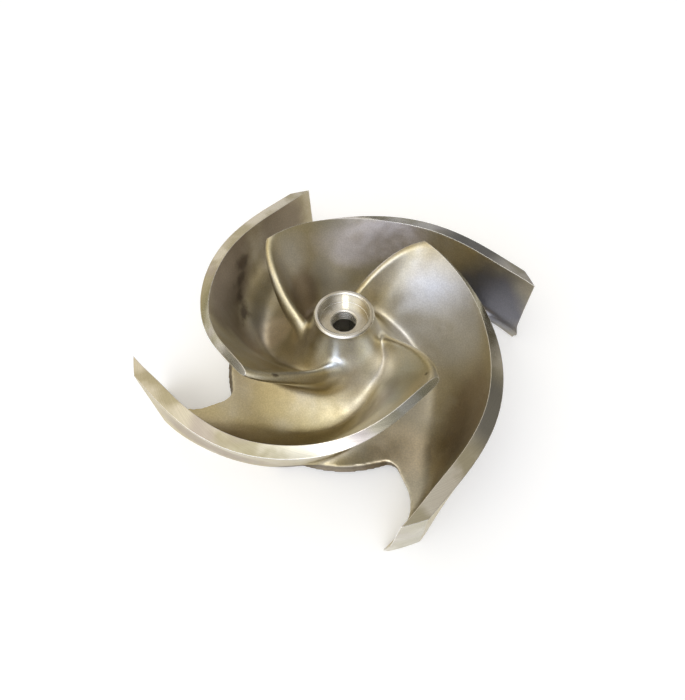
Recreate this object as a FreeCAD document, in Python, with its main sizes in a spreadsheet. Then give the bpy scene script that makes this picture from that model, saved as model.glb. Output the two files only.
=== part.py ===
import FreeCAD, Part
import math
import os

import Sketcher
from FreeCAD import Vector

# Semi-open pump impeller: one stainless casting with turned and bored faces.
# Millimetres and degrees. The origin is on the shaft axis at the back face and +Z is the suction side.

SIZES = {
    "outer_diameter": 330.0,
    "vane_count": 4,
    # turned front: height of the vane tops at five radii
    "front_height_tip": 69.3,
    "front_radius_outer": 147.0,
    "front_height_outer": 70.5,
    "front_radius_middle": 128.5,
    "front_height_middle": 72.4,
    "front_radius_inner": 110.5,
    "front_height_inner": 77.9,
    "front_radius_eye": 92.4,
    "front_height_eye": 94.4,
    # back web with its notches
    "web_underside": 6.0,
    "web_top": 11.5,
    "web_radius": 101.5,
    "toe_drop": 1.0,
    "notch_corner_radius": 11.0,
    "notch_outer_radius": 30.0,
    "foot_ledge": 2.5,
    # hub
    "hub_height": 78.0,
    "hub_draft": 10.0,
    "hub_fillet": 72.0,
    "hub_straight": 2.0,
    "back_boss_radius": 36.0,
    "back_boss_fillet": 4.0,
    # bores
    "counterbore_diameter": 40.0,
    "counterbore_depth": 10.5,
    "rim_wall": 4.0,
    "screw_bore_diameter": 20.0,
    "screw_land": 10.5,
    "shaft_bore_diameter": 38.0,
    "edge_chamfer": 1.0,
    "key_width": 10.0,
    "key_depth": 3.3,
    # vane walls
    "foot_thickness": 11.5,
    "root_fillet": 27.0,
    "root_fillet_run": 18.0,
    "hub_overlap": 12.0,
    "machining_allowance": 5.0,
}

# Vane layout, one row for each ray through the shaft axis: angle of the ray, radius of the wall's
# middle at the back face, radius and height of its crown, and wall thickness at the crown.
# The notch side lies on the third ray.
LAYOUT_COLUMNS = ("ray", "foot_radius", "crown_radius", "crown_height", "crown_thickness")
VANE_LAYOUT = [
    (95.0, 182.0, 181.4, 82.0, 7.5),
    (102.0, 169.5, 169.5, 82.0, 8.2),
    (112.0, 154.5, 154.4, 82.5, 9.8),
    (125.0, 134.8, 144.5, 84.0, 10.2),
    (140.0, 116.2, 137.0, 85.0, 9.6),
    (160.0, 95.2, 126.2, 88.0, 8.7),
    (180.0, 73.5, 116.4, 93.0, 7.2),
    (200.0, 48.5, 107.0, 100.0, 5.9),
    (212.0, 37.5, 101.2, 101.0, 5.0),
    (222.0, 31.0, 94.2, 94.5, 3.6),
    (232.0, 27.5, 78.6, 84.8, 4.6),
    (243.0, 27.5, 59.0, 70.6, 6.4),
    (254.0, 29.0, 42.5, 59.5, 11.5),
    (263.0, 30.0, 36.0, 53.5, 13.0),
    (272.0, 30.0, 34.5, 47.5, 12.5),
    (281.0, 29.0, 33.0, 42.0, 11.0),
    (292.0, 25.0, 29.0, 34.0, 9.5),
]
NOTCH_ROW = 2
CAP_SHARE = 0.8
BLEND_SHARE = 0.55
FRONT_RUN_ON = 0.6

doc = FreeCAD.newDocument("Impeller")
sheet = doc.addObject("Spreadsheet::Sheet", "Sizes")


def fill_sheet():
    """Write every size and layout value into the sheet, each under its alias."""
    lines = list(SIZES.items())
    for number, values in enumerate(VANE_LAYOUT, 1):
        lines += [(f"{column}_{number}", value) for column, value in zip(LAYOUT_COLUMNS, values)]
    for line, (alias, value) in enumerate(lines, 1):
        sheet.set(f"A{line}", alias)
        sheet.set(f"B{line}", str(value))
        sheet.setAlias(f"B{line}", alias)
    doc.recompute()


def size(alias):
    return float(sheet.get(alias))


def polar(radius, degrees, height=0.0):
    turn = math.radians(degrees)
    return Vector(radius * math.cos(turn), radius * math.sin(turn), height)


def slope(index, column):
    """Change of a layout column per radian, taken over the rows on both sides."""
    low, high = max(index - 1, 0), min(index + 1, len(rows) - 1)
    turn = math.radians(rows[high]["ray"] - rows[low]["ray"])
    return (rows[high][column] - rows[low][column]) / turn


def ray_thickness(index, column, thickness, lean):
    """Thickness along the ray of a wall whose true thickness is given."""
    skew = slope(index, column) / rows[index][column]
    return thickness * math.sqrt(1 + skew ** 2 + lean ** 2)


def fillet_reach(ray):
    """Width of the root fillet: nearly nothing at the notch, full in the passage."""
    least = size("foot_ledge") / 2
    share = (ray - rows[NOTCH_ROW]["ray"]) / size("root_fillet_run")
    share = min(max(share, 0.0), 1.0)
    return least + (size("root_fillet") - least) * share ** 2 * (3 - 2 * share)


class Wall:
    """Straight leaning wall of the vane on one ray, thinner at the crown than at the foot."""

    def __init__(self, index):
        row = rows[index]
        self.ray = row["ray"]
        self.height = row["crown_height"]
        self.foot = row["foot_radius"]
        self.lean = (row["crown_radius"] - self.foot) / self.height
        self.crown_half = ray_thickness(index, "crown_radius", row["crown_thickness"], self.lean) / 2
        self.foot_half = ray_thickness(index, "foot_radius", size("foot_thickness"), self.lean) / 2
        self.cap = row["crown_thickness"] * CAP_SHARE

    def half(self, height):
        return self.foot_half + (self.crown_half - self.foot_half) * height / self.height

    def inner(self, height):
        return self.foot + self.lean * height - self.half(height)

    def outer(self, height):
        return self.foot + self.lean * height + self.half(height)

    def at(self, radius, height):
        return polar(radius, self.ray, height)


def vane_strips(index):
    """Pole rows of the vane outline on one ray, a strip for each face of the vane."""
    wall = Wall(index)
    bottom = -size("machining_allowance")
    shoulder = wall.height - wall.cap
    toe_height = size("web_top") - size("toe_drop")
    reach = min(fillet_reach(wall.ray), wall.inner(toe_height) - size("hub_overlap"))
    fillet_top = min(size("web_top") + reach, shoulder - wall.cap)
    toe = wall.inner(toe_height) - reach
    drop = (fillet_top - toe_height) * BLEND_SHARE
    handle = wall.cap * 4 / 3

    inner_foot = wall.at(wall.inner(bottom), bottom)
    outer_foot = wall.at(wall.outer(bottom), bottom)
    outer_shoulder = wall.at(wall.outer(shoulder), shoulder)
    inner_shoulder = wall.at(wall.inner(shoulder), shoulder)
    fillet_start = wall.at(wall.inner(fillet_top), fillet_top)
    toe_point = wall.at(toe, toe_height)
    toe_back = wall.at(wall.inner(toe_height), toe_height)
    nose = [
        outer_shoulder,
        wall.at(wall.outer(shoulder) + wall.lean * handle, shoulder + handle),
        wall.at(wall.inner(shoulder) + wall.lean * handle, shoulder + handle),
        inner_shoulder,
    ]
    blend = [
        fillet_start,
        wall.at(wall.inner(fillet_top - drop), fillet_top - drop),
        wall.at(toe + reach * BLEND_SHARE, toe_height + size("toe_drop")),
        toe_point,
    ]
    return [
        [inner_foot, outer_foot],
        [outer_foot, outer_shoulder],
        nose,
        [inner_shoulder, fillet_start],
        blend,
        [toe_point, toe_back],
        [toe_back, inner_foot],
    ]


def crown_stations():
    """Share of the crown's length at which each row stands."""
    points = [polar(r["crown_radius"], r["ray"], r["crown_height"]) for r in rows]
    along = [0.0]
    for here, there in zip(points, points[1:]):
        along.append(along[-1] + (there - here).Length)
    return [value / along[-1] for value in along]


def skin(strips, stations):
    """Surface through matching pole rows: a Bezier curve across, a cubic spline along."""
    lines = []
    for column in zip(*strips):
        curve = Part.BSplineCurve()
        curve.interpolate(Points=list(column), Parameters=stations)
        lines.append(curve)
    across = len(lines)
    surface = Part.BSplineSurface()
    surface.buildFromPolesMultsKnots(
        [line.getPoles() for line in lines],
        [across, across], lines[0].getMultiplicities(),
        [0.0, 1.0], lines[0].getKnots(),
        False, False, across - 1, 3,
    )
    return surface.toShape()


def end_face(strips):
    """Flat face that closes the vane on its first or last ray."""
    edges = []
    for poles in strips:
        curve = Part.BezierCurve()
        curve.setPoles(poles)
        edges.append(curve.toShape())
    return Part.Face(Part.Wire(edges))


def vane_blank():
    """Solid vane with stock left on the faces that are turned later."""
    outlines = [vane_strips(index) for index in range(len(rows))]
    stations = crown_stations()
    faces = [skin(strips, stations) for strips in zip(*outlines)]
    faces += [end_face(outlines[0]), end_face(outlines[-1])]
    shell = Part.makeShell(faces)
    shell.sewShape()
    solid = Part.Solid(shell)
    if solid.Volume < 0:
        solid.reverse()
    return solid


def origin_plane(body, role):
    return next(f for f in body.Origin.OriginFeatures if f.Role == role)


def new_sketch(body, name, role):
    sketch = body.newObject("Sketcher::SketchObject", name)
    sketch.AttachmentSupport = [(origin_plane(body, role), "")]
    sketch.MapMode = "FlatFace"
    return sketch


def bind_point(sketch, line, end, pair, label):
    """Tie one end of a line to a pair of expressions, or to an axis where one is zero."""
    for kind, axis, expression in (("DistanceX", -2, pair[0]), ("DistanceY", -1, pair[1])):
        if expression == "0":
            sketch.addConstraint(Sketcher.Constraint("PointOnObject", line, end, axis))
            continue
        value = float(sketch.evalExpression(expression))
        number = sketch.addConstraint(Sketcher.Constraint(kind, -1, 1, line, end, value))
        name = f"{label}_{kind[-1].lower()}"
        sketch.renameConstraint(number, name)
        sketch.setExpression(f"Constraints.{name}", expression)


def bound_outline(sketch, corners):
    """Closed outline of straight lines. Each corner has a label and its two expressions."""
    places = [
        Vector(*[0.0 if e == "0" else float(sketch.evalExpression(e)) for e in pair], 0)
        for pair in corners.values()
    ]
    count = len(places)
    lines = [
        sketch.addGeometry(Part.LineSegment(places[i], places[(i + 1) % count]), False)
        for i in range(count)
    ]
    for i, (label, pair) in enumerate(corners.items()):
        sketch.addConstraint(Sketcher.Constraint("Coincident", lines[i - 1], 2, lines[i], 1))
        bind_point(sketch, lines[i], 1, pair, label)


def revolve(body, name, kind, sketch):
    """Additive or subtractive turn of a sketch about the shaft axis."""
    feature = body.newObject(f"PartDesign::{kind}", name)
    feature.Profile = sketch
    feature.ReferenceAxis = (sketch, ["V_Axis"])
    feature.Angle = 360
    feature.Refine = False
    doc.recompute()
    return feature


def edges_near(feature, points, reach=0.05):
    """Names of the edges of a feature that pass through the given points."""
    names = []
    for number, edge in enumerate(feature.Shape.Edges, 1):
        if any(edge.distToShape(Part.Vertex(p))[0] < reach for p in points):
            names.append(f"Edge{number}")
    return names


def smooth(points):
    curve = Part.BSplineCurve()
    curve.interpolate(points)
    return curve


def web_outline():
    """Outline of the web: the disc arcs, the notch sides, the foot ledges and the hidden returns."""
    web = size("web_radius")
    pitch = 360 / int(size("vane_count"))
    feet = [Wall(i) for i in range(NOTCH_ROW + 1)]
    ledge = [w.inner(size("web_top")) - size("foot_ledge") for w in feet]
    back = [row for row in rows if row["foot_radius"] > web]
    after = rows[len(back)]
    share = (back[-1]["foot_radius"] - web) / (back[-1]["foot_radius"] - after["foot_radius"])
    end_ray = back[-1]["ray"] + share * (after["ray"] - back[-1]["ray"])
    side_ray = rows[NOTCH_ROW]["ray"]
    parts = []
    for k in range(int(size("vane_count"))):
        turn = k * pitch
        start, middle = end_ray - pitch + turn, (end_ray - pitch + side_ray) / 2 + turn
        side = side_ray + turn
        ledge_points = [polar(r, w.ray + turn) for r, w in zip(ledge, feet)][::-1]
        back_points = [polar(row["foot_radius"], row["ray"] + turn) for row in back]
        parts += [
            Part.Arc(polar(web, start), polar(web, middle), polar(web, side)),
            Part.LineSegment(polar(web, side), ledge_points[0]),
            smooth(ledge_points),
            Part.LineSegment(ledge_points[-1], back_points[0]),
            smooth(back_points + [polar(web, end_ray + turn)]),
        ]
    return parts, side_ray, ledge[-1]


fill_sheet()
rows = [{c: size(f"{c}_{n}") for c in LAYOUT_COLUMNS} for n in range(1, len(VANE_LAYOUT) + 1)]

# hub and web
hub = doc.addObject("PartDesign::Body", "HubAndWeb")
web_sketch = new_sketch(hub, "WebOutline", "XY_Plane")
outline, side_ray, ledge_start = web_outline()
web_sketch.addGeometry(outline, False)
web_sketch.setExpression("AttachmentOffset.Base.z", "Sizes.web_underside")
web = hub.newObject("PartDesign::Pad", "Web")
web.Profile = web_sketch
web.setExpression("Length", "Sizes.web_top - Sizes.web_underside")
web.Refine = False
doc.recompute()


def repeated(radius, ray, height):
    """The same point in every vane's sector."""
    count = int(size("vane_count"))
    return [polar(radius, ray + k * 360 / count, height) for k in range(count)]


def fillet(body, base, name, edges, radius):
    feature = body.newObject("PartDesign::Fillet", name)
    feature.Base = (base, edges)
    feature.setExpression("Radius", radius)
    feature.Refine = False
    doc.recompute()
    return feature


middle = (size("web_underside") + size("web_top")) / 2
corners = edges_near(web, repeated(size("web_radius"), side_ray, middle))
corner = fillet(hub, web, "NotchCorners", corners, "Sizes.notch_corner_radius")
sweeps = edges_near(corner, repeated(ledge_start, side_ray, middle))
sweep = fillet(hub, corner, "NotchSweeps", sweeps, "Sizes.notch_outer_radius")

rim = "(Sizes.counterbore_diameter / 2 + Sizes.rim_wall)"
flank_foot = f"({rim} + (Sizes.hub_height - Sizes.web_top) * tan(Sizes.hub_draft * 1deg))"
hub_sketch = new_sketch(hub, "HubProfile", "XZ_Plane")
bound_outline(hub_sketch, {
    "axis_back": ("0", "-Sizes.machining_allowance"),
    "axis_front": ("0", "Sizes.hub_height + Sizes.machining_allowance"),
    "stock_front": (rim, "Sizes.hub_height + Sizes.machining_allowance"),
    "rim": (rim, "Sizes.hub_height"),
    "flank_foot": (flank_foot, "Sizes.web_top"),
    "boss_root": ("Sizes.back_boss_radius", "Sizes.web_top - Sizes.toe_drop"),
    "boss_back": ("Sizes.back_boss_radius", "-Sizes.machining_allowance"),
})
doc.recompute()
boss = revolve(hub, "HubTurn", "Revolution", hub_sketch)
foot_radius = float(hub_sketch.evalExpression(flank_foot))
flank = edges_near(boss, [Vector(-foot_radius, 0, size("web_top"))])
shorter_side = f"min(Sizes.hub_height - Sizes.web_top; Sizes.web_radius - {flank_foot})"
widest = f"({shorter_side} - Sizes.hub_straight) * tan(45deg + Sizes.hub_draft / 2 * 1deg)"
hub_root = fillet(hub, boss, "HubRoot", flank, f"min(Sizes.hub_fillet; {widest})")
back = edges_near(hub_root, [Vector(-size("back_boss_radius"), 0, size("web_underside"))])
hub_body = fillet(hub, hub_root, "BackBossRoot", back, "Sizes.back_boss_fillet")
hub.Tip = hub_body
doc.recompute()

# vanes
blank = vane_blank()
vanes = []
for k in range(int(size("vane_count"))):
    vane = doc.addObject("Part::Feature", f"Vane{k + 1}")
    vane.Shape = blank
    vane.Placement.Rotation = FreeCAD.Rotation(Vector(0, 0, 1), k * 360 / int(size("vane_count")))
    vanes.append(vane)
casting = doc.addObject("Part::MultiFuse", "Casting")
casting.Shapes = [hub] + vanes
casting.Refine = False
doc.recompute()

# turned and bored faces
impeller = doc.addObject("PartDesign::Body", "Impeller")
impeller.BaseFeature = casting
doc.recompute()

def turned_profile():
    """Half section of the stock that is turned away: suction front, rim and back face."""
    rim, tip = size("outer_diameter") / 2, size("front_height_tip")
    below, beyond = -2 * size("machining_allowance"), rows[0]["foot_radius"] + size("foot_thickness")
    front = [Vector(rim, tip, 0)]
    for place in ("outer", "middle", "inner", "eye"):
        front.append(Vector(size(f"front_radius_{place}"), size(f"front_height_{place}"), 0))
    front.append(front[-1] + (front[-1] - front[-2]) * FRONT_RUN_ON)
    corners = [front[-1], Vector(beyond, front[-1].y, 0), Vector(beyond, below, 0),
               Vector(0, below, 0), Vector(0, 0, 0), Vector(rim, 0, 0), front[0]]
    sides = [Part.LineSegment(here, there) for here, there in zip(corners, corners[1:])]
    return [smooth(front)] + sides


turned_sketch = new_sketch(impeller, "TurnedProfile", "XZ_Plane")
turned_sketch.addGeometry(turned_profile(), False)
turned = revolve(impeller, "OutsideTurning", "Groove", turned_sketch)

shaft, screw, cup = ("Sizes.shaft_bore_diameter / 2", "Sizes.screw_bore_diameter / 2",
                     "Sizes.counterbore_diameter / 2")
cup_floor = "Sizes.hub_height - Sizes.counterbore_depth"
land_floor = f"{cup_floor} - Sizes.screw_land"
clear_top = "Sizes.hub_height + 2 * Sizes.machining_allowance"
bore_sketch = new_sketch(impeller, "BoreProfile", "XZ_Plane")
bound_outline(bore_sketch, {
    "axis_back": ("0", "-Sizes.edge_chamfer"),
    "mouth_back": (f"{shaft} + 2 * Sizes.edge_chamfer", "-Sizes.edge_chamfer"),
    "mouth": (shaft, "Sizes.edge_chamfer"),
    "shaft_end": (shaft, land_floor),
    "screw_back": (screw, land_floor),
    "screw_front": (screw, f"{cup_floor} - Sizes.edge_chamfer"),
    "screw_mouth": (f"{screw} + Sizes.edge_chamfer", cup_floor),
    "cup_corner": (cup, cup_floor),
    "cup_top": (cup, "Sizes.hub_height - Sizes.edge_chamfer"),
    "cup_mouth": (f"{cup} + Sizes.edge_chamfer", "Sizes.hub_height"),
    "rim_edge": (f"{rim} - Sizes.edge_chamfer", "Sizes.hub_height"),
    "rim_side": (f"{rim} + Sizes.edge_chamfer", "Sizes.hub_height - 2 * Sizes.edge_chamfer"),
    "clear_side": (f"{rim} + Sizes.edge_chamfer", clear_top),
    "clear_axis": ("0", clear_top),
})
doc.recompute()
bored = revolve(impeller, "Boring", "Groove", bore_sketch)

key_sketch = new_sketch(impeller, "KeywayProfile", "XY_Plane")
bound_outline(key_sketch, {
    "inner_left": ("-Sizes.key_width / 2", "0"),
    "inner_right": ("Sizes.key_width / 2", "0"),
    "outer_right": ("Sizes.key_width / 2", f"{shaft} + Sizes.key_depth"),
    "outer_left": ("-Sizes.key_width / 2", f"{shaft} + Sizes.key_depth"),
})
keyway = impeller.newObject("PartDesign::Pocket", "Keyway")
keyway.Profile = key_sketch
keyway.Reversed = True
keyway.Refine = False
keyway.setExpression("Length", land_floor)
impeller.Tip = keyway
impeller.Label = "impeller"
doc.recompute()


def check_document():
    """Stop if any object failed, or if a machining step removed nothing."""
    for item in doc.Objects:
        if "Invalid" in item.State or "Error" in item.State:
            raise RuntimeError(f"{item.Name} failed: {item.State}")
    volumes = [step.Shape.Volume for step in (casting, turned, bored, keyway)]
    for before, after in zip(volumes, volumes[1:]):
        if not after < before - 1:
            raise RuntimeError(f"a cut removed nothing: {volumes}")
    shape = impeller.Shape
    if shape.isNull() or not shape.isValid() or len(shape.Solids) != 1:
        raise RuntimeError("the impeller is not one valid solid")
    print("volumes", [round(v) for v in volumes], "faces", len(shape.Faces))


check_document()
os.makedirs("parts", exist_ok=True)
impeller.Shape.exportStep("parts/impeller.step")
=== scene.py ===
# %% [markdown]
# A semi-open pump impeller, cast in stainless steel and then turned and bored. The real one is poured in
# a sand mould, blasted clean, and only its front, rim, back and bores are machined. The script follows
# that order: smooth surfaces are joined into one rough casting, its inside corners are filled as a
# foundry's fillets are, and cutters then leave crisp bright faces where a lathe would.

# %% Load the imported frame
import math

import bmesh
import bpy
import numpy as np
from mathutils import Matrix, Vector


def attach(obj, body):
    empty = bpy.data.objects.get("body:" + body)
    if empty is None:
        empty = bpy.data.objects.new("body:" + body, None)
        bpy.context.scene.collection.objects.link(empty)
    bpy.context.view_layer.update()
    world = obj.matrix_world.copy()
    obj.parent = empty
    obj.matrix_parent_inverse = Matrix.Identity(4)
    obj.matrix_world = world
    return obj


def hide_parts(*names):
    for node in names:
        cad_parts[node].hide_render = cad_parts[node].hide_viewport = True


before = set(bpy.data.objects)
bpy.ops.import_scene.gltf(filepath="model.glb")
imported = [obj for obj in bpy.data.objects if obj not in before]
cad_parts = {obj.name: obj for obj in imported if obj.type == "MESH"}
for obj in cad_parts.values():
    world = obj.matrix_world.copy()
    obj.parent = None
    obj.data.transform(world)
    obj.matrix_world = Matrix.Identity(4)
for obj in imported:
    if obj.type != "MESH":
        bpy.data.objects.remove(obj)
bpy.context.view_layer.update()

MM = 0.001

# %% [markdown]
# The camera comes first. The view looks down at the suction side from the front, 56 degrees above the
# horizon, and it is rolled by less than half a degree, as a hand-held picture is. One matrix places it: a
# move, then a tilt, then the roll.

# %% Camera
PHOTO_HEIGHT = 700
FOCAL_PIXELS = 474.8
CAMERA_PLACE = Vector((-1.34, -232.43, 374.09)) * MM
CAMERA_ELEVATION = math.radians(56.333)
CAMERA_ROLL = math.radians(-0.428)


def add_camera():
    """Camera whose turn is the elevation about X, then the roll about its own line of sight."""
    data = bpy.data.cameras.new("camera")
    data.lens = data.sensor_width * FOCAL_PIXELS / PHOTO_HEIGHT
    camera = bpy.data.objects.new("camera", data)
    bpy.context.scene.collection.objects.link(camera)
    tilt = Matrix.Rotation(math.pi / 2 - CAMERA_ELEVATION, 4, "X")
    camera.matrix_world = Matrix.Translation(CAMERA_PLACE) @ tilt @ Matrix.Rotation(CAMERA_ROLL, 4, "Z")
    bpy.context.scene.camera = camera
    return camera


camera = add_camera()
print("lens", round(camera.data.lens, 2), "mm")

# %% [markdown]
# The sizes are those of the casting, in millimetres. The vane is set out on rays through the
# shaft axis, as a pattern maker would: on each ray stands a straight leaning wall with a radius at the
# foot, a radius and height at the crown, and a thickness. The other three vanes are quarter turns of it.

# %% Sizes of the casting
VANES = 4
OUTER_RADIUS = 165.0
# radii and heights of the turned front face, from the rim inwards
FRONT_RADII = np.array([165.0, 147.0, 128.5, 110.5, 92.4])
FRONT_HEIGHTS = np.array([69.3, 70.5, 72.4, 77.9, 94.4])
# the web ends at this radius in a notch, whose two corners have these radii, and at a ledge by each vane
WEB_UNDERSIDE, WEB_TOP = 6.0, 11.5
WEB_RADIUS = 101.5
NOTCH_CORNER, NOTCH_SWEEP = 11.0, 30.0
LEDGE = 2.5
HUB_RIM, HUB_HEIGHT = 24.0, 78.0
HUB_DRAFT = math.radians(10.0)
HUB_FILLET = 72.0
BACK_BOSS = 36.0
FOOT_THICKNESS = 11.5
# full width of the fillet at a vane's root, and the degrees over which it grows to that
ROOT_FILLET, ROOT_RUN = 27.0, 18.0
# a vane's fillet ends no nearer to the axis than this, inside the hub
HUB_OVERLAP = 12.0
# metal that stands past the later cuts
STOCK = 5.0
# depth of a crown's rounding in thicknesses, and how far a fillet's handles reach along its sides
CAP_SHARE, BLEND_SHARE = 0.8, 0.55
TOE_DROP = 1.0
# the row of the table below that stands on the side of the notch
NOTCH_ROW = 2

# ray in degrees, foot radius, crown radius, crown height, crown thickness
VANE_ROWS = np.array([
    (95, 182, 181.4, 82, 7.5),
    (102, 169.5, 169.5, 82, 8.2),
    (112, 154.5, 154.4, 82.5, 9.8),
    (125, 134.8, 144.5, 84, 10.2),
    (140, 116.2, 137, 85, 9.6),
    (160, 95.2, 126.2, 88, 8.7),
    (180, 73.5, 116.4, 93, 7.2),
    (200, 48.5, 107, 100, 5.9),
    (212, 35.5, 101.2, 101, 5.6),
    (222, 28.5, 94.2, 94.5, 6.0),
    (232, 25.5, 78.6, 84.8, 7.4),
    (243, 26.5, 59, 70.6, 9.0),
    (254, 29, 42.5, 59.5, 11.5),
    (263, 30, 36, 53.5, 13),
    (272, 30, 34.5, 47.5, 12.5),
    (281, 29, 33, 42, 11),
    (292, 25, 29, 34, 9.5),
])
RAY = np.radians(VANE_ROWS[:, 0])
FOOT, CROWN, HEIGHT, THICKNESS = VANE_ROWS[:, 1:].T
print("vane rows", len(VANE_ROWS))

# %% [markdown]
# Three small tools make every smooth surface here. A cubic spline carries the rows along the vane, a
# Bezier curve bends each strip across it, and a grid of points becomes a mesh in one call.

# %% Spline, Bezier and grid
def spline(knots, values, at):
    """Cubic pieces through the values, with equal slope and bend where they meet and no bend at the ends."""
    gap = np.diff(knots)
    inner = np.arange(1, len(knots) - 1)
    system = np.eye(len(knots))
    system[inner, inner - 1] = gap[:-1]
    system[inner, inner] = 2 * (gap[:-1] + gap[1:])
    system[inner, inner + 1] = gap[1:]
    rise = np.diff(values, axis=0) / gap[:, None]
    right = np.zeros(values.shape)
    right[1:-1] = 6 * np.diff(rise, axis=0)
    bend = np.linalg.solve(system, right)
    low = np.clip(np.searchsorted(knots, at, side="right") - 1, 0, len(knots) - 2)
    past, left, width = (at - knots[low])[:, None], (knots[low + 1] - at)[:, None], gap[low][:, None]
    cubic = (bend[low] * left ** 3 + bend[low + 1] * past ** 3) / (6 * width)
    line_a = (values[low] / width - bend[low] * width / 6) * left
    line_b = (values[low + 1] / width - bend[low + 1] * width / 6) * past
    return cubic + line_a + line_b


def bezier_weights(poles, count):
    """Share of each pole at evenly spaced places: binomial times t to the k times (1 - t) to the rest."""
    share = np.linspace(0, 1, count)[:, None]
    power = np.arange(poles)[None, :]
    times = np.array([math.comb(poles - 1, k) for k in range(poles)])
    return times * share ** power * (1 - share) ** (poles - 1 - power)


def grid_faces(rows, columns, wrap_rows=False, wrap_columns=False):
    """Quads of a grid of points numbered row by row, joined end to end where it wraps."""
    r = np.arange(rows if wrap_rows else rows - 1)[:, None]
    c = np.arange(columns if wrap_columns else columns - 1)[None, :]
    r_next, c_next = (r + 1) % rows, (c + 1) % columns
    quads = [r * columns + c, r * columns + c_next, r_next * columns + c_next, r_next * columns + c]
    return np.stack([q.ravel() for q in quads], axis=1)


def new_piece(name, points, faces):
    """Mesh object from points in millimetres and lists of corners, with its faces turned outwards."""
    mesh = bpy.data.meshes.new(name)
    mesh.from_pydata((points * MM).tolist(), [], faces)
    piece = bpy.data.objects.new(name, mesh)
    bpy.context.scene.collection.objects.link(piece)
    turn_outwards(mesh)
    return piece


def turn_outwards(mesh):
    """Merge doubled points and make the faces of a closed mesh point outwards."""
    work = bmesh.new()
    work.from_mesh(mesh)
    bmesh.ops.remove_doubles(work, verts=work.verts, dist=0.001 * MM)
    bmesh.ops.recalc_face_normals(work, faces=work.faces)
    if work.calc_volume(signed=True) < 0:
        bmesh.ops.reverse_faces(work, faces=work.faces)
    work.to_mesh(mesh)
    work.free()


print("bezier weights at the middle", bezier_weights(4, 3)[1])

# %% [markdown]
# The vane. Seven strips run round its section: the foot, the convex wall, the crown, the concave wall,
# the big root fillet, and two short hidden ones. The poles of all strips are splined along the vane at
# once, and then bent across. The crown stands above the later front face, as the stock on a casting does.

# %% Vane
# points along the vane, and across each of its strips
VANE_STEPS = 300
STRIP_STEPS = (7, 44, 13, 28, 20, 4, 6)


def slope(values):
    """Change of a row value per radian, taken over the rows on both sides."""
    low = np.maximum(np.arange(len(RAY)) - 1, 0)
    high = np.minimum(np.arange(len(RAY)) + 1, len(RAY) - 1)
    return (values[high] - values[low]) / (RAY[high] - RAY[low])


def wall_lines():
    """Lean and half thicknesses on each ray.

    The lean is the change of radius over the height. A wall that crosses its ray at a slant is thicker
    along it, by the root of 1 plus the squares of its slope along the rows and of its lean.
    """
    lean = (CROWN - FOOT) / HEIGHT
    crown_half = THICKNESS * np.sqrt(1 + (slope(CROWN) / CROWN) ** 2 + lean ** 2) / 2
    foot_half = FOOT_THICKNESS * np.sqrt(1 + (slope(FOOT) / FOOT) ** 2 + lean ** 2) / 2
    return lean, crown_half, foot_half


def wall_side(height, side):
    """Radius of the convex (side 1) or concave (side -1) wall on every ray at a height."""
    lean, crown_half, foot_half = wall_lines()
    half = foot_half + (crown_half - foot_half) * height / HEIGHT
    return FOOT + lean * height + side * half


def fillet_reach():
    """Width of the root fillet: a smooth step from half the ledge at the notch to its full size."""
    share = np.clip((RAY - RAY[NOTCH_ROW]) / math.radians(ROOT_RUN), 0, 1)
    return LEDGE / 2 + (ROOT_FILLET - LEDGE / 2) * share ** 2 * (3 - 2 * share)


def vane_strips():
    """Pole radii and heights of the seven strips on every ray."""
    lean = wall_lines()[0]
    cap = THICKNESS * CAP_SHARE
    bottom = np.full(len(RAY), -STOCK)
    shoulder = HEIGHT - cap
    toe_height = np.full(len(RAY), WEB_TOP - TOE_DROP)
    reach = np.minimum(fillet_reach(), wall_side(toe_height, -1) - HUB_OVERLAP)
    fillet_top = np.minimum(WEB_TOP + reach, shoulder - cap)
    toe = wall_side(toe_height, -1) - reach
    drop = (fillet_top - toe_height) * BLEND_SHARE
    handle = cap * 4 / 3
    inner_foot = (wall_side(bottom, -1), bottom)
    outer_foot = (wall_side(bottom, 1), bottom)
    outer_shoulder = (wall_side(shoulder, 1), shoulder)
    inner_shoulder = (wall_side(shoulder, -1), shoulder)
    outer_handle = (outer_shoulder[0] + lean * handle, shoulder + handle)
    inner_handle = (inner_shoulder[0] + lean * handle, shoulder + handle)
    fillet_start = (wall_side(fillet_top, -1), fillet_top)
    fillet_bend = (wall_side(fillet_top - drop, -1), fillet_top - drop)
    toe_bend = (toe + reach * BLEND_SHARE, toe_height + TOE_DROP)
    toe_point = (toe, toe_height)
    toe_back = (wall_side(toe_height, -1), toe_height)
    return [
        [inner_foot, outer_foot],
        [outer_foot, outer_shoulder],
        [outer_shoulder, outer_handle, inner_handle, inner_shoulder],
        [inner_shoulder, fillet_start],
        [fillet_start, fillet_bend, toe_bend, toe_point],
        [toe_point, toe_back],
        [toe_back, inner_foot],
    ]


def around(radius, height):
    """Points on the rows' rays at these radii and heights."""
    return np.stack([radius * np.cos(RAY), radius * np.sin(RAY), height], axis=-1)


def vane_grid():
    """Points of the vane: every pole is splined along it, then each strip is bent across by its weights."""
    crown = around(CROWN, HEIGHT)
    along = np.r_[0, np.cumsum(np.linalg.norm(np.diff(crown, axis=0), axis=1))]
    at = np.linspace(0, along[-1], VANE_STEPS)
    strips = []
    for poles, count in zip(vane_strips(), STRIP_STEPS):
        rows = np.stack([around(*pole) for pole in poles], axis=1)
        lines = spline(along, rows.reshape(len(RAY), -1), at).reshape(VANE_STEPS, len(poles), 3)
        strips.append(np.einsum("vp,spx->svx", bezier_weights(len(poles), count)[:-1], lines))
    return np.concatenate(strips, axis=1)


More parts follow.
